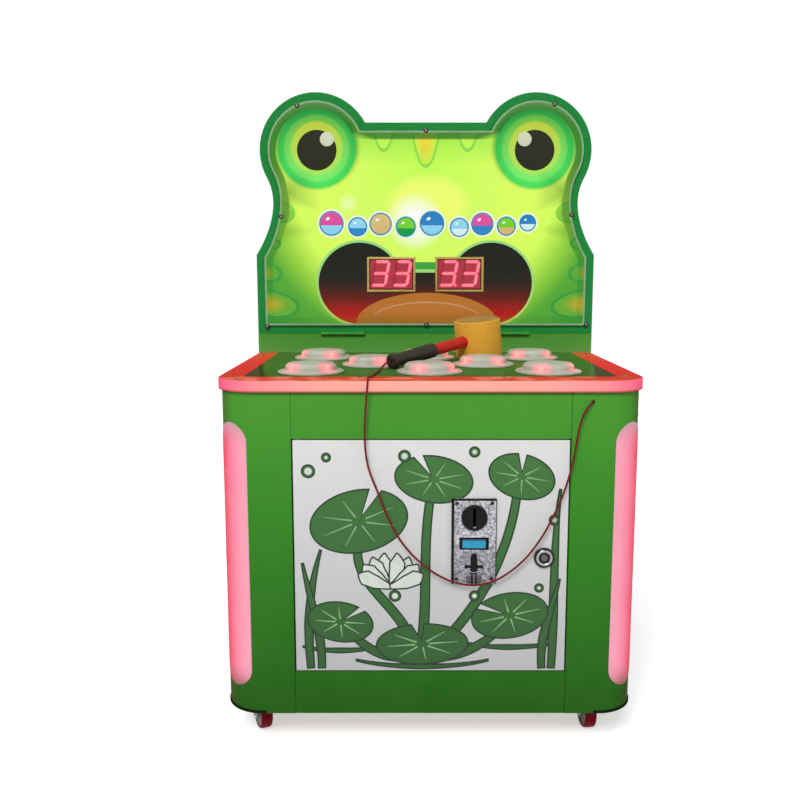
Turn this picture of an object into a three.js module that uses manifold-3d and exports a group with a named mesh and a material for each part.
// A children's pounding game: a cabinet on castors, eight lit push buttons in its deck,
// a lit head board that folds forward, a coin door and a mallet on a cord.
// Lengths are millimetres. X runs to the right, Y to the rear and Z up from the floor.
import * as THREE from "three";
import { mergeVertices } from "three/addons/utils/BufferGeometryUtils.js";
import Module from "manifold-3d";

const wasm = await Module();
wasm.setup();

// Fits and facets shared by every piece
const gap = 0.3; // left between pieces that touch
const runningGap = 0.4; // left around what turns or slides
const overrun = 6; // how far a cut runs past the face that it opens
const arcSteps = 3;
const fineArcSteps = 8;
const turnSteps = 16;
const smallTurnSteps = 12;
const pinSteps = 8;
const cordSides = 8;
const cordSteps = 72;
const quarterTurn = Math.PI / 2;
const degree = Math.PI / 180;

// Cabinet
const cabinetWidth = 612;
const cabinetDepth = 522;
const cabinetBottom = 55.4;
const panelThickness = 12;
const cornerRadius = 57;
const frontLeg = 49; // flat part of a side panel's front, beside the door
const doorTopMargin = 68.9;
const doorBottom = 122.8;

// Deck and its lit rim
const deckHeight = 554.5;
const rimHeight = 16.5;
const rimOverhang = 5;
const rimThickness = 14;
const rimLip = 2;
const sheetThickness = 3;
const borderSideWidth = 37;
const borderFrontWidth = 53;

// Corner lamps
const lampAngle = 60 * degree;
const lampBottom = 94;
const lampTopMargin = 45;
const lampEndSteps = 4;
const lensProud = 1;
const lensFlange = 8;
const lensFlangeThickness = 3;

// Push buttons
const buttonSideInset = 131;
const frontRowY = 100;
const middleRowShare = 0.481308; // of the way from the front row to the back row
const backRowInset = 108;
const capRadius = 38.5;
const capHeight = 17.5;
const buttonTravel = 5;

// Head board and the riser under it
const headDepth = 100;
const riserHeight = 36;
const headFrameThickness = 12;
const headShellWall = 9;
const lobeInset = 112;
const lobeHeight = 331.2;
const lobeRadius = 102.5;
const crownRise = 49.3; // from the lobes' centres up to the flat top
const flareHeight = 144;

// Castors
const castorHeight = 65;
const wheelDiameter = 50;
const wheelWidth = 18;
const castorSideInset = 56;
const castorFrontY = 46;
const castorRearInset = 62;
const castorTrail = 22;

// Coin acceptor on the door
const coinPlateWidth = 64;
const coinPlateHeight = 127;
const coinPlateX = 62.5;
const coinPlateDrop = 38.35; // below the door's middle
const coinPlateThickness = 3;
const leverProud = 4;

// Values that follow from the ones above
const halfWidth = cabinetWidth / 2;
const rimBottom = deckHeight - rimHeight;
const lampTop = rimBottom - lampTopMargin;
const doorTop = rimBottom - doorTopMargin;
const doorMiddle = (doorTop + doorBottom) / 2;
const coinPlateBottom = doorMiddle - coinPlateDrop;
const rimHalfWidth = halfWidth + rimOverhang;
const sheetBottom = deckHeight - sheetThickness;
const cornerX = halfWidth - cornerRadius;
const seamX = cornerX - frontLeg;
const riserBottom = deckHeight + gap;
const riserTop = deckHeight + riserHeight;
const headBottom = riserTop + gap;
const headWidth = 2 * rimHalfWidth;
const headFrontY = cabinetDepth - headDepth;
const lobeX = headWidth / 2 - lobeInset;
const castorX = halfWidth - castorSideInset;
const buttonPitch = rimHalfWidth - buttonSideInset;
const backRowY = headFrontY - backRowInset;
const middleRowY = frontRowY + (backRowY - frontRowY) * middleRowShare;
const frontReach = gap + coinPlateThickness + leverProud;

// Merges a geometry's shared corners and leaves out the faces that this flattens.
function closed(geometry) {
  const bare = geometry.clone();
  bare.deleteAttribute("normal");
  bare.deleteAttribute("uv");
  const merged = mergeVertices(bare);
  const kept = [];
  const index = merged.index.array;
  for (let i = 0; i < index.length; i += 3) {
    const [a, b, c] = [index[i], index[i + 1], index[i + 2]];
    if (a !== b && b !== c && c !== a) kept.push(a, b, c);
  }
  return merged.setIndex(kept);
}

function solid(geometry) {
  const merged = closed(geometry);
  const vertProperties = merged.getAttribute("position").array;
  const triVerts = new Uint32Array(merged.index.array);
  return new wasm.Manifold(new wasm.Mesh({ numProp: 3, vertProperties, triVerts }));
}

function geometryOf(made) {
  const mesh = made.getMesh();
  const geometry = new THREE.BufferGeometry();
  geometry.setAttribute("position", new THREE.BufferAttribute(mesh.vertProperties, 3));
  geometry.setIndex(new THREE.BufferAttribute(mesh.triVerts, 1));
  geometry.computeVertexNormals();
  return geometry;
}

function cut(body, ...cutters) {
  return geometryOf(cutters.reduce((left, cutter) => left.subtract(solid(cutter)), solid(body)));
}

function joined(...pieces) {
  const [first, ...rest] = pieces.map(solid);
  return geometryOf(rest.reduce((sum, piece) => sum.add(piece), first));
}

function common(first, second) {
  return geometryOf(solid(first).intersect(solid(second)));
}

// The same piece on the other side of the middle plane.
function mirrored(geometry) {
  const merged = closed(geometry).scale(-1, 1, 1);
  const index = merged.index.array;
  for (let i = 0; i < index.length; i += 3) [index[i + 1], index[i + 2]] = [index[i + 2], index[i + 1]];
  return merged;
}

// A plan outline raised from one height to another.
function upright(outline, low, high, steps = arcSteps) {
  const options = { depth: high - low, bevelEnabled: false, curveSegments: steps };
  return new THREE.ExtrudeGeometry(outline, options).translate(0, 0, low);
}

// An outline seen from the front, drawn in X and Z, from a front face back to a rear face.
function facing(outline, front, back, steps = arcSteps) {
  const options = { depth: back - front, bevelEnabled: false, curveSegments: steps };
  return new THREE.ExtrudeGeometry(outline, options).rotateX(quarterTurn).translate(0, back, 0);
}

function box(left, right, front, back, low, high) {
  const block = new THREE.BoxGeometry(right - left, back - front, high - low);
  return block.translate((left + right) / 2, (front + back) / 2, (low + high) / 2);
}

function rectangle(left, right, low, high, radius = 0) {
  const outline = new THREE.Shape();
  if (radius === 0) {
    outline.moveTo(left, low).lineTo(right, low).lineTo(right, high).lineTo(left, high);
    return outline;
  }
  outline.absarc(right - radius, low + radius, radius, -quarterTurn, 0);
  outline.absarc(right - radius, high - radius, radius, 0, quarterTurn);
  outline.absarc(left + radius, high - radius, radius, quarterTurn, 2 * quarterTurn);
  outline.absarc(left + radius, low + radius, radius, 2 * quarterTurn, 3 * quarterTurn);
  return outline;
}

function centred(width, height, radius = 0) {
  return rectangle(-width / 2, width / 2, -height / 2, height / 2, radius);
}

// A round piece about the Z axis, from a list of [radius, height] pairs.
function turned(profile, steps = turnSteps) {
  const points = profile.map(([radius, height]) => new THREE.Vector2(radius, height));
  return new THREE.LatheGeometry(points, steps).rotateX(quarterTurn);
}

function rod(radius, low, high, steps = pinSteps) {
  return turned([[0, low], [radius, low], [radius, high], [0, high]], steps);
}

// A rod along Y, from a front face to a rear face.
function rodBack(radius, x, z, front, back, steps = pinSteps) {
  return rod(radius, -back, -front, steps).rotateX(quarterTurn).translate(x, 0, z);
}

// A rod along X.
function rodAcross(radius, y, z, left, right, steps = pinSteps) {
  return rod(radius, left, right, steps).rotateY(quarterTurn).translate(0, y, z);
}

const look = {
  greenPaint: { color: "#4e9a34", roughness: 0.35, metalness: 0 },
  headGreen: { color: "#2e8b40", roughness: 0.35, metalness: 0 },
  whiteBoard: { color: "#dcdcdc", roughness: 0.3, metalness: 0 },
  redSheet: { color: "#e8502e", roughness: 0.2, metalness: 0 },
  greenSheet: { color: "#3f7f2e", roughness: 0.12, metalness: 0 },
  litPink: { color: "#ff8fa8", roughness: 0.4, metalness: 0 },
  litGreen: { color: "#b8f84a", roughness: 0.2, metalness: 0 },
  frosted: { color: "#d8d4cc", roughness: 0.25, metalness: 0 },
  blackPlastic: { color: "#1d1d1f", roughness: 0.45, metalness: 0 },
  displayRed: { color: "#7d1030", roughness: 0.2, metalness: 0 },
  zinc: { color: "#a9adb2", roughness: 0.35, metalness: 0.9 },
  chrome: { color: "#d5d8dc", roughness: 0.12, metalness: 1 },
  redWheel: { color: "#7a1520", roughness: 0.5, metalness: 0 },
  yellowFoam: { color: "#d9a030", roughness: 0.7, metalness: 0 },
  redTube: { color: "#b32824", roughness: 0.35, metalness: 0 },
  gripFoam: { color: "#3a2e2c", roughness: 0.85, metalness: 0 },
  redCord: { color: "#a02828", roughness: 0.6, metalness: 0 },
  board: { color: "#b08d5f", roughness: 0.8, metalness: 0 },
  circuit: { color: "#1f6b3a", roughness: 0.5, metalness: 0 },
};

const machine = new THREE.Group();

function add(name, geometry, finish, parent = machine) {
  const mesh = new THREE.Mesh(geometry, new THREE.MeshStandardMaterial(look[finish]));
  mesh.name = name;
  parent.add(mesh);
  return mesh;
}

// A band that follows the cabinet's right front corner between two depths below its skin,
// with a straight leg past each end of the bend.
function cornerBand(outerInset, innerInset, frontLeg, sideLeg) {
  const outline = new THREE.Shape();
  outline.moveTo(cornerX - frontLeg, outerInset);
  outline.absarc(cornerX, cornerRadius, cornerRadius - outerInset, -quarterTurn, 0, false);
  outline.lineTo(halfWidth - outerInset, cornerRadius + sideLeg);
  outline.lineTo(halfWidth - innerInset, cornerRadius + sideLeg);
  outline.absarc(cornerX, cornerRadius, cornerRadius - innerInset, 0, -quarterTurn, true);
  outline.lineTo(cornerX - frontLeg, innerInset);
  return outline;
}

// The lamp window's round-ended bar, grown by a margin, driven through the corner at 45 degrees.
function lampBar(margin) {
  const reach = cornerRadius * Math.sin(lampAngle / 2) + margin;
  const outline = new THREE.Shape();
  outline.absarc(0, lampBottom - margin + reach, reach, 2 * quarterTurn, 4 * quarterTurn, false);
  outline.absarc(0, lampTop + margin - reach, reach, 0, 2 * quarterTurn, false);
  const bar = facing(outline, -cornerRadius - overrun, -cornerRadius / 4, lampEndSteps);
  return bar.rotateZ(quarterTurn / 2).translate(cornerX, cornerRadius, 0);
}

const cordHoleRadius = 4;
const cordHoleInset = 29;
const cordHoleDrop = 14;
const cordHoleX = seamX + cordHoleInset;
const cordHoleZ = rimBottom - cordHoleDrop;

function sidePanel() {
  const outline = cornerBand(0, panelThickness, frontLeg, cabinetDepth - cornerRadius);
  return cut(upright(outline, cabinetBottom, rimBottom - gap), lampBar(0));
}

function cornerLens() {
  const backInset = panelThickness + gap + lensFlangeThickness;
  const leg = 2 * lensFlange;
  const low = lampBottom - leg;
  const high = lampTop + leg;
  const front = common(upright(cornerBand(-lensProud, backInset, leg, leg), low, high), lampBar(-gap));
  const flangeBand = cornerBand(panelThickness + gap, backInset, leg, leg);
  return joined(front, common(upright(flangeBand, low, high), lampBar(lensFlange)));
}

function addSides() {
  const panel = sidePanel();
  const cordHole = rodBack(cordHoleRadius, cordHoleX, cordHoleZ, -overrun, panelThickness + overrun);
  add("right_side_panel", cut(panel, cordHole), "greenPaint");
  add("left_side_panel", mirrored(panel), "greenPaint");
  const lens = cornerLens();
  add("right_corner_lens", lens, "litPink");
  add("left_corner_lens", mirrored(lens), "litPink");
}

// Front rails above and below the door, bored for the door's pivot rod
const railThickness = 15;
const doorThickness = 12;
const doorSideGap = 2.3;
const doorEndGap = 1.5;
const pivotRadius = 3;
const pivotInset = 9;
const pivotDepth = 12;
const doorHalfWidth = seamX - doorSideGap;
const pivotX = pivotInset - doorHalfWidth;
const pivotY = doorThickness / 2;

function addFrontRails() {
  const left = gap - seamX;
  const right = seamX - gap;
  const topLow = doorTop + doorEndGap;
  const bottomHigh = doorBottom - doorEndGap;
  const boreRadius = pivotRadius + gap;
  const upperBore = rod(boreRadius, topLow - overrun, topLow + pivotDepth + gap).translate(pivotX, pivotY, 0);
  const lowerBore = rod(boreRadius, bottomHigh - pivotDepth - gap, bottomHigh + overrun);
  const topRail = box(left, right, 0, railThickness, topLow, rimBottom - gap);
  const bottomRail = box(left, right, 0, railThickness, cabinetBottom, bottomHigh);
  add("front_top_rail", cut(topRail, upperBore), "greenPaint");
  add("front_bottom_rail", cut(bottomRail, lowerBore.translate(pivotX, pivotY, 0)), "greenPaint");
}

// Rear panel with louvre slots and the power inlet's recess
const ventWidth = 110;
const ventHeight = 5;
const ventPitch = 14;
const ventRows = 5;
const ventX = 150;
const ventDrop = 138; // from the rim down to the lowest row
const ventBottom = rimBottom - ventDrop;
const inletX = 0;
const inletZ = 130;
const inletWidth = 60;
const inletHeight = 48;
const inletFlange = 3;
const inletBodyWidth = 48;
const inletBodyHeight = 30;
const inletBodyDepth = 32;

function addRearPanel() {
  const side = halfWidth - panelThickness - gap;
  const front = cabinetDepth - panelThickness;
  const plate = box(-side, side, front, cabinetDepth, cabinetBottom, rimBottom - gap);
  const cuts = [];
  for (let row = 0; row < ventRows; row++) {
    const low = ventBottom + row * ventPitch;
    const slot = rectangle(-ventWidth / 2, ventWidth / 2, low, low + ventHeight, ventHeight / 2);
    for (const x of [-ventX, ventX])
      cuts.push(facing(slot, front - overrun, cabinetDepth + overrun, 1).translate(x, 0, 0));
  }
  const seat = centred(inletWidth + 2 * gap, inletHeight + 2 * gap);
  const throat = centred(inletBodyWidth + 2 * gap, inletBodyHeight + 2 * gap);
  const seatFront = cabinetDepth - inletFlange - gap;
  cuts.push(facing(seat, seatFront, cabinetDepth + overrun).translate(inletX, 0, inletZ));
  cuts.push(facing(throat, front - overrun, cabinetDepth + overrun).translate(inletX, 0, inletZ));
  add("rear_panel", cut(plate, ...cuts), "greenPaint");
}

// Mains inlet: a flange, a body behind it, and the socket's well with its three pins left standing
const socketWidth = 24;
const socketHeight = 17;
const socketDepth = 16;
const pinWidth = 2;
const pinHeight = 5;
const pinPitch = 7;

function addPowerInlet() {
  const back = cabinetDepth - gap;
  const flange = centred(inletWidth, inletHeight, inletFlange);
  const body = centred(inletBodyWidth, inletBodyHeight);
  const well = centred(socketWidth, socketHeight, inletFlange);
  const shell = joined(
    facing(flange, back - inletFlange, back),
    facing(body, back - inletBodyDepth, back - inletFlange / 2),
  );
  const pinFoot = back - socketDepth - inletFlange;
  const pins = [-pinPitch, 0, pinPitch].map((x) =>
    box(x - pinWidth / 2, x + pinWidth / 2, pinFoot, back - inletFlange, 0, pinHeight),
  );
  const open = cut(shell, facing(well, back - socketDepth, back + overrun, 2));
  add("power_inlet", joined(open, ...pins).translate(inletX, 0, inletZ), "blackPlastic");
}

// Base plate inside the skirt, with the castors' top plates and bearing cups under it
const baseThickness = 15;
const castorPlateWidth = 56;
const castorPlateDepth = 46;
const castorPlateThickness = 2.5;
const cupRadius = 19;
const cupHeight = 5.5;
const kingpinRadius = 6;
const forkCrownThickness = 3;
const cupBottom = castorHeight - castorPlateThickness - cupHeight;
const castorRearY = cabinetDepth - castorRearInset;
const castorPlaces = [
  [-castorX, castorFrontY, 205],
  [castorX, castorFrontY, 187],
  [-castorX, castorRearY, 160],
  [castorX, castorRearY, 205],
];

function insidePlan(inset, rear) {
  const side = halfWidth - inset;
  const radius = cornerRadius - inset;
  const outline = new THREE.Shape();
  outline.moveTo(side, rear).lineTo(-side, rear);
  outline.absarc(radius - side, cornerRadius, radius, 2 * quarterTurn, 3 * quarterTurn, false);
  outline.absarc(side - radius, cornerRadius, radius, 3 * quarterTurn, 4 * quarterTurn, false);
  return outline;
}

function addBasePlate() {
  const inset = panelThickness + gap;
  // The plate stops short of the rails behind the door opening, which stand proud of the side panels.
  const board = cut(
    upright(insidePlan(inset, cabinetDepth - inset), castorHeight, castorHeight + baseThickness),
    box(-seamX, seamX, -overrun, railThickness + gap, cabinetBottom, castorHeight + baseThickness + overrun),
  );
  const plates = castorPlaces.map(([x, y]) => {
    const plate = box(
      -castorPlateWidth / 2,
      castorPlateWidth / 2,
      -castorPlateDepth / 2,
      castorPlateDepth / 2,
      castorHeight - castorPlateThickness,
      castorHeight + castorPlateThickness,
    );
    return joined(plate, rod(cupRadius, cupBottom, castorHeight, smallTurnSteps)).translate(x, y, 0);
  });
  const bores = castorPlaces.map(([x, y]) =>
    rod(kingpinRadius + runningGap, cupBottom - overrun, castorHeight, smallTurnSteps).translate(x, y, 0),
  );
  add("base_plate", cut(joined(board, ...plates), ...bores), "board");
}

// Swivel fork: crown, two tapered legs, kingpin and the wheel's axle bolt
const legThickness = 2.5;
const legClearance = 1.2;
const legRadius = 8;
const axleRadius = 3;
const axleHeadRadius = 5;
const axleHead = 3;
const crownFront = 28;
const crownRear = 14;
const crownHalfWidth = wheelWidth / 2 + legClearance + legThickness;
const axleHeight = wheelDiameter / 2;
const crownTop = cupBottom - gap;

function castorFork() {
  const leg = new THREE.Shape();
  leg.moveTo(-crownRear, crownTop);
  leg.absarc(castorTrail, axleHeight, legRadius, 2 * quarterTurn, 4 * quarterTurn, false);
  leg.lineTo(crownFront, crownTop);
  const inner = crownHalfWidth - legThickness;
  const legs = [-crownHalfWidth, inner].map((x) => facing(leg, x, x + legThickness).rotateZ(-quarterTurn));
  const crownLow = crownTop - forkCrownThickness;
  const crown = box(-crownHalfWidth, crownHalfWidth, -crownFront, crownRear, crownLow, crownTop);
  const kingpin = rod(kingpinRadius, crownLow, castorHeight - gap);
  const axle = rodAcross(axleRadius, -castorTrail, axleHeight, -crownHalfWidth, crownHalfWidth);
  const heads = [-crownHalfWidth - axleHead, crownHalfWidth].map((x) =>
    rodAcross(axleHeadRadius, -castorTrail, axleHeight, x, x + axleHead, 6),
  );
  return joined(crown, ...legs, kingpin, axle, ...heads);
}

const tyreShoulder = 3;
const hubRadius = 10;
const hubRecess = 2;

function castorWheel() {
  const radius = wheelDiameter / 2;
  const rimRadius = radius - tyreShoulder;
  const side = wheelWidth / 2;
  const bore = axleRadius + runningGap;
  const profile = [
    [bore, -side],
    [hubRadius, -side],
    [hubRadius + hubRecess, hubRecess - side],
    [rimRadius - hubRecess, hubRecess - side],
    [rimRadius, -side],
    [radius, tyreShoulder - side],
    [radius, side - tyreShoulder],
    [rimRadius, side],
    [rimRadius - hubRecess, side - hubRecess],
    [hubRadius + hubRecess, side - hubRecess],
    [hubRadius, side],
    [bore, side],
    [bore, -side],
  ];
  const wheel = turned(profile, smallTurnSteps).rotateY(quarterTurn);
  return geometryOf(solid(wheel.translate(0, -castorTrail, axleHeight)));
}

function addCastors() {
  const fork = castorFork();
  const wheel = castorWheel();
  castorPlaces.forEach(([x, y, swivel], i) => {
    const castor = new THREE.Group();
    castor.position.set(x, y, 0);
    castor.rotation.z = swivel * degree;
    add(`castor_fork_${i + 1}`, fork, "zinc", castor);
    add(`castor_wheel_${i + 1}`, wheel, "redWheel", castor);
    machine.add(castor);
  });
}

// Plan outline of the deck, inset from the rim's outer face.
function deckPlan(inset, frontInset = inset) {
  const side = rimHalfWidth - inset;
  const front = frontInset - rimOverhang;
  const radius = Math.max(cornerRadius + rimOverhang - Math.max(inset, frontInset), rimThickness);
  const outline = new THREE.Shape();
  outline.moveTo(side, cabinetDepth).lineTo(-side, cabinetDepth);
  outline.absarc(radius - side, front + radius, radius, 2 * quarterTurn, 3 * quarterTurn, false);
  outline.absarc(side - radius, front + radius, radius, 3 * quarterTurn, 4 * quarterTurn, false);
  return outline;
}

// Push buttons: bezel with its barrel through the deck, and a sliding cap with a stem
const bezelRadius = 50;
const bezelEdge = 3;
const bezelBevel = 1.5;
const collarRadius = 44;
const collarHeight = 5.6;
const barrelRadius = 42;
const barrelDepth = 40;
const barrelFloor = 3;
const capWall = 2.5;
const capShoulder = 3;
const capSkirt = 24;
const stemRadius = 5;
const boreRadius = capRadius + runningGap;
const buttonPlaces = [
  [-buttonPitch, frontRowY],
  [0, frontRowY],
  [buttonPitch, frontRowY],
  [-buttonPitch / 2, middleRowY],
  [buttonPitch / 2, middleRowY],
  [-buttonPitch, backRowY],
  [0, backRowY],
  [buttonPitch, backRowY],
];

function buttonBezel() {
  const profile = [
    [0, -barrelDepth],
    [barrelRadius, -barrelDepth],
    [barrelRadius, gap],
    [bezelRadius, gap],
    [bezelRadius, gap + bezelEdge],
    [bezelRadius - bezelBevel, gap + bezelEdge + bezelBevel],
    [collarRadius, gap + bezelEdge + bezelBevel],
    [collarRadius - bezelBevel, collarHeight],
    [boreRadius, collarHeight],
    [boreRadius, barrelFloor - barrelDepth],
    [0, barrelFloor - barrelDepth],
  ];
  return geometryOf(solid(turned(profile)));
}

function buttonCap() {
  const inner = capRadius - capWall;
  const shoulder = capHeight - capShoulder;
  const ceiling = shoulder - capWall;
  const stemEnd = barrelFloor - barrelDepth + buttonTravel + runningGap;
  const profile = [
    [0, stemEnd],
    [stemRadius, stemEnd],
    [stemRadius, ceiling],
    [inner, ceiling],
    [inner, capHeight - capSkirt - capWall],
    [capRadius, capHeight - capSkirt - capWall],
    [capRadius, shoulder - capShoulder],
    [capRadius - capShoulder, capHeight - capShoulder / 2],
    [0, capHeight],
  ];
  return geometryOf(solid(turned(profile)));
}

function addButtons() {
  const bezel = buttonBezel();
  const cap = buttonCap();
  buttonPlaces.forEach(([x, y], i) => {
    const button = new THREE.Group();
    button.position.set(x, y, deckHeight);
    add(`button_bezel_${i + 1}`, bezel, "frosted", button);
    add(`button_cap_${i + 1}`, cap, "frosted", button);
    machine.add(button);
  });
}

function addDeck() {
  const boardTop = sheetBottom - gap;
  const holes = buttonPlaces.map(([x, y]) =>
    rod(barrelRadius + gap, rimBottom - overrun, deckHeight + overrun, turnSteps).translate(x, y, 0),
  );
  const board = upright(deckPlan(rimThickness + gap), rimBottom, boardTop);
  add("deck_board", cut(board, ...holes), "board");
  const strip = cut(
    upright(deckPlan(0), rimBottom, boardTop),
    upright(deckPlan(rimThickness), rimBottom - overrun, boardTop + overrun),
  );
  const lip = cut(
    upright(deckPlan(0), rimBottom, deckHeight),
    upright(deckPlan(rimLip), rimBottom - overrun, deckHeight + overrun),
  );
  const side = rimHalfWidth + overrun;
  const behind = box(-side, side, cabinetDepth, cabinetDepth + overrun, rimBottom - overrun, deckHeight + overrun);
  add("rim_light", cut(joined(strip, lip), behind), "litPink");
  const field = upright(deckPlan(borderSideWidth, borderFrontWidth), sheetBottom, deckHeight);
  const fieldHole = upright(
    deckPlan(borderSideWidth - gap, borderFrontWidth - gap),
    sheetBottom - overrun,
    deckHeight + overrun,
  );
  add("playfield_sheet", cut(field, ...holes), "greenSheet");
  add("deck_border", cut(upright(deckPlan(rimLip + gap), sheetBottom, deckHeight), fieldHole), "redSheet");
}

// Head board outline, inset from its edge: straight sides, a flare, a waist and two round lobes
const waistPull = 50;
const flareLean = 32 * degree;
const lobeLeave = 28 * degree;

function headOutline(inset) {
  const side = headWidth / 2 - inset;
  const low = headBottom + inset;
  const flare = headBottom + flareHeight - inset * Math.tan(flareLean / 2);
  const radius = lobeRadius - inset;
  const lobe = headBottom + lobeHeight;
  const top = lobe + crownRise - inset;
  const crownAngle = Math.asin((top - lobe) / radius);
  const leaveX = lobeX + radius * Math.cos(lobeLeave);
  const leaveZ = lobe - radius * Math.sin(lobeLeave);
  const leanX = waistPull * Math.sin(flareLean);
  const leanZ = waistPull * Math.cos(flareLean);
  const pullX = waistPull * Math.sin(lobeLeave);
  const pullZ = waistPull * Math.cos(lobeLeave);
  const outline = new THREE.Shape();
  outline.moveTo(-side, low).lineTo(side, low).lineTo(side, flare);
  outline.bezierCurveTo(side - leanX, flare + leanZ, leaveX - pullX, leaveZ - pullZ, leaveX, leaveZ);
  outline.absarc(lobeX, lobe, radius, -lobeLeave, 2 * quarterTurn - crownAngle, false);
  outline.absarc(-lobeX, lobe, radius, crownAngle, 2 * quarterTurn + lobeLeave, false);
  outline.bezierCurveTo(pullX - leaveX, leaveZ - pullZ, leanX - side, flare + leanZ, -side, flare);
  return outline;
}

// Score displays, seated through the front sheet with a flange behind it
const displayWidth = 89;
const displayHeight = 63.6;
const displayX = 62.8;
const displayBottom = 76.8;
const displayDepth = 24;
const displayProud = 1.5;
const displayFlange = 6;
const displayFrame = 4;
const displayFaceRecess = 2;
const panelMargin = 15;
const frontSheet = 4;
const windowMargin = 30;
const sheetBack = headFrontY - gap;
const sheetFront = sheetBack - frontSheet;

function displayRectangle(margin) {
  const low = headBottom + displayBottom;
  return rectangle(
    -displayWidth / 2 - margin,
    displayWidth / 2 + margin,
    low - margin,
    low + displayHeight + margin,
  );
}

function scoreDisplay() {
  const front = sheetFront - displayProud;
  const body = facing(displayRectangle(0), front, sheetFront + displayDepth);
  const flange = facing(displayRectangle(displayFlange), sheetBack + gap, sheetBack + gap + displayFlange);
  const face = facing(displayRectangle(-displayFrame), front - overrun, front + displayFaceRecess);
  return cut(joined(body, flange), face);
}

function addHead() {
  const frameBack = headFrontY + headFrameThickness;
  const frame = facing(headOutline(0), headFrontY, frameBack, fineArcSteps);
  const window = facing(headOutline(windowMargin), headFrontY - overrun, frameBack + overrun, fineArcSteps);
  const leafSlots = [-hingeX, hingeX].map((x) => leafSlot().translate(x, 0, 0));
  add("head_frame", cut(frame, window, ...leafSlots), "headGreen");
  const shellFront = frameBack + gap;
  const shell = facing(headOutline(0), shellFront, cabinetDepth, fineArcSteps);
  const hollowBack = cabinetDepth - headShellWall;
  const hollow = facing(headOutline(headShellWall), shellFront - overrun, hollowBack, fineArcSteps);
  add("head_shell", cut(shell, hollow, ...leafSlots), "headGreen");
  const sheet = facing(headOutline(panelMargin), sheetFront, sheetBack, fineArcSteps);
  const display = scoreDisplay();
  const openings = [-displayX, displayX].map((x) =>
    facing(displayRectangle(gap), sheetFront - overrun, sheetBack + overrun).translate(x, 0, 0),
  );
  add("head_panel", cut(sheet, ...openings), "litGreen");
  add("left_score_display", display.clone().translate(-displayX, 0, 0), "displayRed");
  add("right_score_display", display.clone().translate(displayX, 0, 0), "displayRed");
  addHeadLight();
}

// Light bar across the head's back, in a channel of its own
const lightBarWidth = 420;
const lightBarHeight = 40;
const lightBarDepth = 22;
const lightBarBottom = 230;
const lightTubeRadius = 9;

function addHeadLight() {
  const back = cabinetDepth - headShellWall - gap;
  const low = headBottom + lightBarBottom;
  const side = lightBarWidth / 2;
  const front = back - lightBarDepth / 2;
  const channel = box(-side, side, front, back, low, low + lightBarHeight);
  const tubeEnd = side - lightBarHeight / 2;
  const tube = rodAcross(lightTubeRadius, front, low + lightBarHeight / 2, -tubeEnd, tubeEnd, smallTurnSteps);
  add("head_light_bar", joined(channel, tube), "frosted");
}

// Butt hinges along the head's front lower edge: knuckles in front, leaves between riser and head
const hingeWidth = 81;
const hingeX = 153.5;
const hingeKnuckles = 5;
const knuckleRadius = 3;
const hingePinRadius = 1.5;
const leafThickness = 1.5;
const leafDepth = 30;
const hingeZ = riserTop + gap / 2;
const hingeY = headFrontY - knuckleRadius - gap;

// The slot in the head's lower edge that takes a hinge's upper leaf.
function leafSlot() {
  const reach = hingeWidth / 2 + gap;
  const back = headFrontY + leafDepth + gap;
  const top = headBottom + leafThickness + gap;
  return box(-reach, reach, headFrontY - overrun, back, headBottom - overrun, top);
}

// One hinge half: every second knuckle, and a leaf that runs back from them.
function hingeHalf(first, leafLow, leafHigh) {
  const pitch = hingeWidth / hingeKnuckles;
  const pieces = [];
  for (let i = first; i < hingeKnuckles; i += 2) {
    const left = i * pitch - hingeWidth / 2 + gap / 2;
    const right = left + pitch - gap;
    const knuckle = rodAcross(knuckleRadius, hingeY, hingeZ, left, right);
    const web = box(left, right, hingeY, headFrontY + knuckleRadius, leafLow, leafHigh);
    pieces.push(knuckle, web);
  }
  const leaf = box(-hingeWidth / 2, hingeWidth / 2, headFrontY, headFrontY + leafDepth, leafLow, leafHigh);
  return joined(leaf, ...pieces);
}

function addHinges() {
  const pin = rodAcross(hingePinRadius, hingeY, hingeZ, gap - hingeWidth / 2, hingeWidth / 2 - gap);
  const upper = joined(hingeHalf(1, headBottom, headBottom + leafThickness), pin);
  add("left_head_hinge", upper.clone().translate(-hingeX, 0, 0), "zinc");
  add("right_head_hinge", upper.clone().translate(hingeX, 0, 0), "zinc");
}

// Riser: an open-bottomed box with the hinges' lower leaves let into its top edge
const riserWall = 12;

function addRiser() {
  const side = headWidth / 2;
  const outer = box(-side, side, headFrontY, cabinetDepth, riserBottom, riserTop);
  const inner = box(
    riserWall - side,
    side - riserWall,
    headFrontY + riserWall,
    cabinetDepth - riserWall,
    riserBottom - overrun,
    riserTop - riserWall,
  );
  const bore = rodAcross(hingePinRadius + gap, hingeY, hingeZ, -hingeWidth, hingeWidth);
  const lower = cut(hingeHalf(0, riserTop - leafThickness, riserTop), bore);
  const halves = [-hingeX, hingeX].map((x) => lower.clone().translate(x, 0, 0));
  add("riser_box", joined(cut(outer, inner), ...halves), "greenPaint");
}

// Door leaf with its pivot rod, cam lock and coin acceptor
const mechWidth = 50;
const mechHeight = 112;
const mechDepth = 62;
const mechLift = 6.4;
const mechBottom = coinPlateBottom + mechLift;
const lockInset = 33.3;
const lockX = doorHalfWidth - lockInset;
const lockZ = doorMiddle;
const lockRadius = 15;
const lockProud = 3.5;
const lockBarrelRadius = 9.5;
const lockPlugRadius = 6;
const camLength = 46;
const camWidth = 13;
const camThickness = 2.5;

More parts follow.
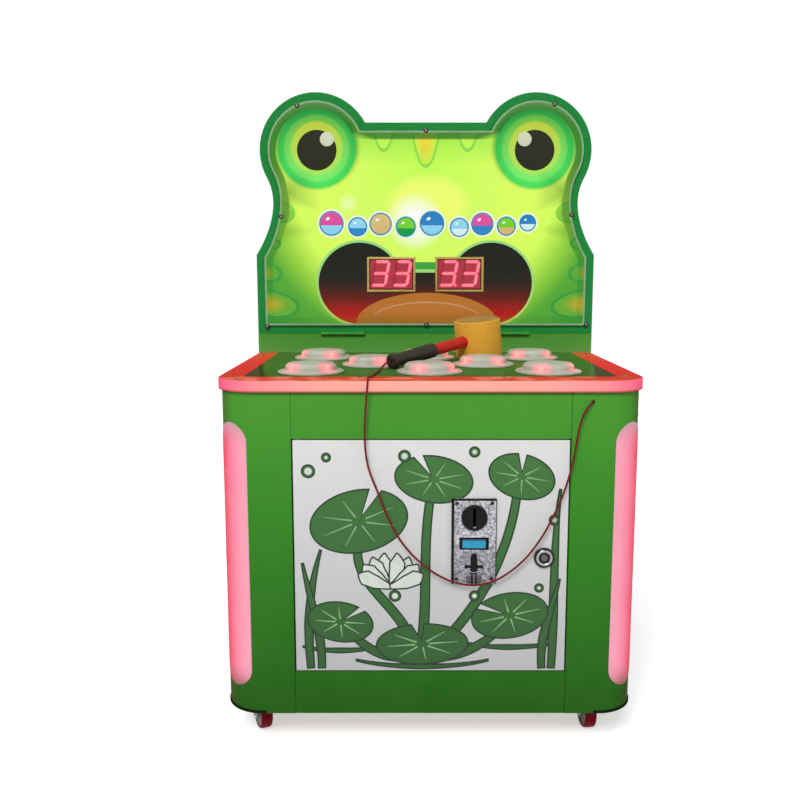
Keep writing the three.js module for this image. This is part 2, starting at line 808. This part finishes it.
function addDoor() {
  const window = rectangle(
    coinPlateX - mechWidth / 2 - gap,
    coinPlateX + mechWidth / 2 + gap,
    mechBottom - gap,
    mechBottom + mechHeight + gap,
  );
  const bore = rod(pivotRadius + gap, doorBottom - overrun, doorTop + overrun).translate(pivotX, pivotY, 0);
  add(
    "door_leaf",
    cut(
      box(-doorHalfWidth, doorHalfWidth, 0, doorThickness, doorBottom, doorTop),
      facing(window, -overrun, doorThickness + overrun),
      rodBack(lockBarrelRadius + gap, lockX, lockZ, -overrun, doorThickness + overrun, turnSteps),
      bore,
    ),
    "whiteBoard",
  );
  const low = doorBottom - doorEndGap - pivotDepth;
  const high = doorTop + doorEndGap + pivotDepth;
  add("door_pivot_rod", geometryOf(solid(rod(pivotRadius, low, high).translate(pivotX, pivotY, 0))), "zinc");
}

function addLock() {
  const back = doorThickness + gap + camThickness / 2;
  const flange = rodBack(lockRadius, lockX, lockZ, -gap - lockProud, -gap, turnSteps);
  const barrel = rodBack(lockBarrelRadius, lockX, lockZ, -gap - lockProud, back, turnSteps);
  const boreRadius = lockPlugRadius + runningGap;
  const bore = rodBack(boreRadius, lockX, lockZ, -overrun - lockProud, back + overrun, smallTurnSteps);
  add("lock_body", cut(joined(flange, barrel), bore), "chrome");
  const camFront = back + gap;
  const camSide = camWidth / 2;
  const camPlan = rectangle(-camSide, camSide, -camSide, camLength, camWidth / 4);
  const cam = facing(camPlan, camFront, camFront + camThickness, 2).translate(lockX, 0, lockZ);
  const plugBack = camFront + camThickness / 2;
  const plug = rodBack(lockPlugRadius, lockX, lockZ, -lockProud, plugBack, smallTurnSteps);
  const keyhole = box(
    lockX - camThickness / 2,
    lockX + camThickness / 2,
    -overrun - lockProud,
    0,
    lockZ - lockPlugRadius / 2,
    lockZ + lockPlugRadius / 2,
  );
  add("lock_cam", cut(joined(cam, plug), keyhole), "chrome");
}

// Coin acceptor: plate, round entry bezel, mechanism with its screen, and the return lever
const entryRadius = 19;
const entryHeight = 98.8;
const entryProud = 3.5;
const entrySpigot = 14;
const coinSlotWidth = 4.4;
const coinSlotHeight = 30;
const screenWidth = 42;
const screenHeight = 18;
const screenBottom = 51;
const screenRecess = 1.5;
const leverWidth = 9;
const leverHeight = 20;
const leverBottom = 20;
const leverTravel = 6;
const cupWidth = 22;
const cupDepth = 2.6;
const cupTall = 12;
const cupLift = 3;
const plateCorner = 2;

function addCoinAcceptor() {
  const plateBack = -gap;
  const plateFront = plateBack - coinPlateThickness;
  const x = coinPlateX;
  const base = coinPlateBottom;
  const outline = rectangle(
    x - coinPlateWidth / 2,
    x + coinPlateWidth / 2,
    base,
    base + coinPlateHeight,
    plateCorner,
  );
  const entryZ = base + entryHeight;
  const screen = (margin) =>
    rectangle(
      x - screenWidth / 2 - margin,
      x + screenWidth / 2 + margin,
      base + screenBottom - margin,
      base + screenBottom + screenHeight + margin,
    );
  const leverSlot = rectangle(
    x - leverWidth / 2 - runningGap,
    x + leverWidth / 2 + runningGap,
    base + leverBottom - leverTravel - runningGap,
    base + leverBottom + leverHeight + runningGap,
  );
  const cupSide = cupWidth / 2;
  const cupLow = base + cupLift;
  const cupTop = base + cupTall;
  const cup = box(x - cupSide, x + cupSide, plateFront - cupDepth, plateBack, cupLow, cupTop);
  const cupHollow = box(
    x - cupSide + cupDepth,
    x + cupSide - cupDepth,
    plateFront - cupDepth / 2,
    plateBack + overrun,
    cupLow + cupDepth,
    cupTop + overrun,
  );
  const hole = rodBack(entrySpigot + gap, x, entryZ, plateFront - overrun, plateBack + overrun, turnSteps);
  const plate = facing(outline, plateFront, plateBack);
  const through = (opening) => facing(opening, plateFront - overrun, plateBack + overrun);
  add(
    "coin_plate",
    joined(cut(plate, hole, through(screen(gap)), through(leverSlot)), cut(cup, cupHollow)),
    "chrome",
  );
  const entryFront = plateFront - gap - entryProud;
  const entry = joined(
    rodBack(entryRadius, x, entryZ, entryFront, plateFront - gap, turnSteps),
    rodBack(entrySpigot, x, entryZ, entryFront, plateBack, turnSteps),
  );
  const slot = rectangle(
    x - coinSlotWidth / 2,
    x + coinSlotWidth / 2,
    entryZ - coinSlotHeight / 2,
    entryZ + coinSlotHeight / 2,
  );
  add("coin_entry", cut(entry, through(slot)), "blackPlastic");
  addCoinMech(screen, slot);
  const lever = rectangle(
    x - leverWidth / 2,
    x + leverWidth / 2,
    base + leverBottom,
    base + leverBottom + leverHeight,
    leverWidth / 4,
  );
  const leverSolid = solid(facing(lever, plateFront - leverProud, plateBack, 2));
  add("return_lever", geometryOf(leverSolid), "blackPlastic");
}

const chuteWall = 8;
const rejectHeight = 30;

function addCoinMech(screen, slot) {
  const left = coinPlateX - mechWidth / 2;
  const right = coinPlateX + mechWidth / 2;
  const body = box(left, right, 0, mechDepth, mechBottom, mechBottom + mechHeight);
  const step = box(
    left - overrun,
    right + overrun,
    doorThickness + chuteWall,
    mechDepth + overrun,
    mechBottom - overrun,
    mechBottom + rejectHeight,
  );
  const glass = facing(screen(0), screenRecess - gap - coinPlateThickness, chuteWall);
  const chute = facing(slot, -overrun, mechDepth - chuteWall);
  const outlet = box(
    coinPlateX - coinSlotWidth / 2,
    coinPlateX + coinSlotWidth / 2,
    doorThickness + 2 * chuteWall,
    mechDepth - chuteWall,
    mechBottom,
    mechBottom + mechHeight / 2 + coinSlotHeight / 2,
  );
  add("coin_mech", cut(joined(body, glass), step, chute, outlet), "blackPlastic");
}

// Cash box under the coin acceptor, open at the top
const cashWidth = 140;
const cashDepth = 170;
const cashHeight = 110;
const cashWall = 2.5;
const cashFrontY = 24;

function addCashBox() {
  const low = castorHeight + baseThickness + gap;
  const outer = rectangle(
    coinPlateX - cashWidth / 2,
    coinPlateX + cashWidth / 2,
    cashFrontY,
    cashFrontY + cashDepth,
    2 * cashWall,
  );
  const inner = rectangle(
    coinPlateX - cashWidth / 2 + cashWall,
    coinPlateX + cashWidth / 2 - cashWall,
    cashFrontY + cashWall,
    cashFrontY + cashDepth - cashWall,
    cashWall,
  );
  const shell = upright(outer, low, low + cashHeight, 2);
  add("cash_box", cut(shell, upright(inner, low + cashWall, low + cashHeight + overrun, 2)), "zinc");
}

// Control board on four standoffs on the rear panel's inner face
const boardWidth = 170;
const boardHeight = 110;
const boardThickness = 2;
const boardZ = 250;
const boardX = -150;
const standoffRadius = 4;
const standoffLength = 12;
const standoffInset = 9;
// Each component's place across and up, then its width, height and depth, as shares of the board's
const componentShares = [
  [-0.28, 0.2, 0.26, 0.33, 0.24],
  [0.22, 0.22, 0.33, 0.24, 0.11],
  [-0.25, -0.28, 0.35, 0.15, 0.09],
  [0.24, -0.24, 0.2, 0.31, 0.15],
];

function addControlBoard() {
  const back = cabinetDepth - panelThickness - gap;
  const boardBack = back - standoffLength;
  const boardFront = boardBack - boardThickness;
  const pieces = [facing(centred(boardWidth, boardHeight), boardFront, boardBack)];
  for (const side of [-1, 1])
    for (const level of [-1, 1])
      pieces.push(
        rodBack(
          standoffRadius,
          side * (boardWidth / 2 - standoffInset),
          level * (boardHeight / 2 - standoffInset),
          boardFront,
          back,
        ),
      );
  for (const [across, up, wide, high, deep] of componentShares) {
    const left = (across - wide / 2) * boardWidth;
    const right = (across + wide / 2) * boardWidth;
    const low = (up - high / 2) * boardHeight;
    const top = (up + high / 2) * boardHeight;
    pieces.push(box(left, right, boardFront - deep * boardHeight, boardBack, low, top));
  }
  add("control_board", joined(...pieces).translate(boardX, 0, boardZ), "circuit");
}

// Mallet lying on the deck: it rests on its head's lower edge and on its grip's end
const malletHeadRadius = 39.5;
const malletHeadHeight = 66;
const malletChamfer = 2;
const malletReach = 213.9;
const handleRadius = 8.75;
const handleSunk = 24;
const gripRadius = 11;
const gripLength = 98;
const gripEndRadius = 12;
const gripEndLength = 5;
const malletSideInset = 1.5;
const malletBackInset = 20.5;
const malletX = buttonPitch / 2 - malletSideInset;
const malletY = backRowY - malletBackInset;
const malletHeading = -134.15 * degree;
const malletTilt = Math.atan(
  (malletHeadHeight / 2 - gripEndRadius) / (malletReach - malletHeadRadius + malletChamfer),
);
const malletHeadZ =
  deckHeight +
  gap +
  (malletHeadHeight / 2) * Math.cos(malletTilt) +
  (malletHeadRadius - malletChamfer) * Math.sin(malletTilt);

function addMallet() {
  const mallet = new THREE.Group();
  const rise = malletHeadHeight / 2;
  const edge = malletHeadRadius - malletChamfer;
  const drum = turned([
    [0, -rise],
    [edge, -rise],
    [malletHeadRadius, malletChamfer - rise],
    [malletHeadRadius, rise - malletChamfer],
    [edge, rise],
    [0, rise],
  ]);
  const boreRadius = handleRadius + gap;
  const socket = rodAcross(boreRadius, 0, 0, -handleSunk, malletHeadRadius + overrun, smallTurnSteps);
  add("mallet_head", cut(drum, socket), "yellowFoam", mallet);
  const handleEnd = malletReach - gripEndLength - gap;
  const handle = rodAcross(handleRadius, 0, 0, gap - handleSunk, handleEnd, smallTurnSteps);
  add("mallet_handle", geometryOf(solid(handle)), "redTube", mallet);
  const grip = joined(
    rodAcross(gripRadius, 0, 0, malletReach - gripLength, malletReach, smallTurnSteps),
    rodAcross(gripEndRadius, 0, 0, malletReach - gripEndLength, malletReach, smallTurnSteps),
  );
  const bore = rodAcross(boreRadius, 0, 0, 0, handleEnd + gap, smallTurnSteps);
  add("mallet_grip", cut(grip, bore), "gripFoam", mallet);
  mallet.position.set(malletX, malletY, malletHeadZ);
  mallet.rotation.set(0, malletTilt, malletHeading, "ZYX");
  machine.add(mallet);
}

// Cord, point by point: from the mallet's grip over the rim, down in a loop and up into the side panel
const cordRadius = 1.5;
const cordRoute = [
  [-59.7, 140.8, 566.6],
  [-65.2, 135.1, 565.6],
  [-70.5, 127.5, 562.0],
  [-74.2, 117.0, 558.0],
  [-77.2, 100.0, 556.6],
  [-80.5, 75.0, 556.5],
  [-84.5, 44.0, 556.6],
  [-87.4, 17.0, 557.8],
  [-88.7, 0.0, 559.6],
  [-89.2, -6.6, 558.2],
  [-89.6, -10.0, 552.8],
  [-90.6, -10.2, 541.0],
  [-93.2, -9.2, 510.0],
  [-94.4, -8.2, 482.0],
  [-93.2, -8.2, 454.0],
  [-88.8, -8.2, 429.0],
  [-77.4, -8.3, 398.5],
  [-65.0, -8.5, 365.6],
  [-49.0, -8.8, 332.5],
  [-25.4, -9.0, 301.5],
  [3.0, -9.2, 277.4],
  [31.5, -9.3, 262.8],
  [60.0, -9.4, 257.6],
  [88.3, -9.3, 262.6],
  [113.5, -9.2, 277.1],
  [137.4, -9.0, 299.0],
  [158.5, -8.8, 328.4],
  [174.0, -8.6, 358.0],
  [186.8, -8.4, 388.0],
  [196.0, -8.3, 418.0],
  [202.8, -8.2, 450.0],
  [207.6, -8.0, 482.0],
  [213.2, -7.6, 504.0],
  [221.0, -6.4, 518.0],
  [227.0, -3.4, 523.3],
  [229.0, 2.0, 524.0],
  [229.0, 8.0, 524.0],
];

function addCord() {
  const points = cordRoute.map(([x, y, z]) => new THREE.Vector3(x, y, z));
  const path = new THREE.CatmullRomCurve3(points, false, "centripetal");
  const section = new THREE.Shape();
  section.absarc(0, 0, cordRadius, 0, 4 * quarterTurn);
  const options = {
    steps: cordSteps,
    extrudePath: path,
    bevelEnabled: false,
    curveSegments: cordSides / 2,
  };
  add("mallet_cord", new THREE.ExtrudeGeometry(section, options), "redCord");
}

addSides();
addFrontRails();
addRearPanel();
addPowerInlet();
addBasePlate();
addCastors();
addDeck();
addButtons();
addRiser();
addHead();
addHinges();
addDoor();
addLock();
addCoinAcceptor();
addCashBox();
addControlBoard();
addMallet();
addCord();

// The origin is on the floor, midway between the cabinet's rear face and its foremost piece.
machine.position.y = (frontReach - cabinetDepth) / 2;
machine.name = "pounding_game";

export default machine;
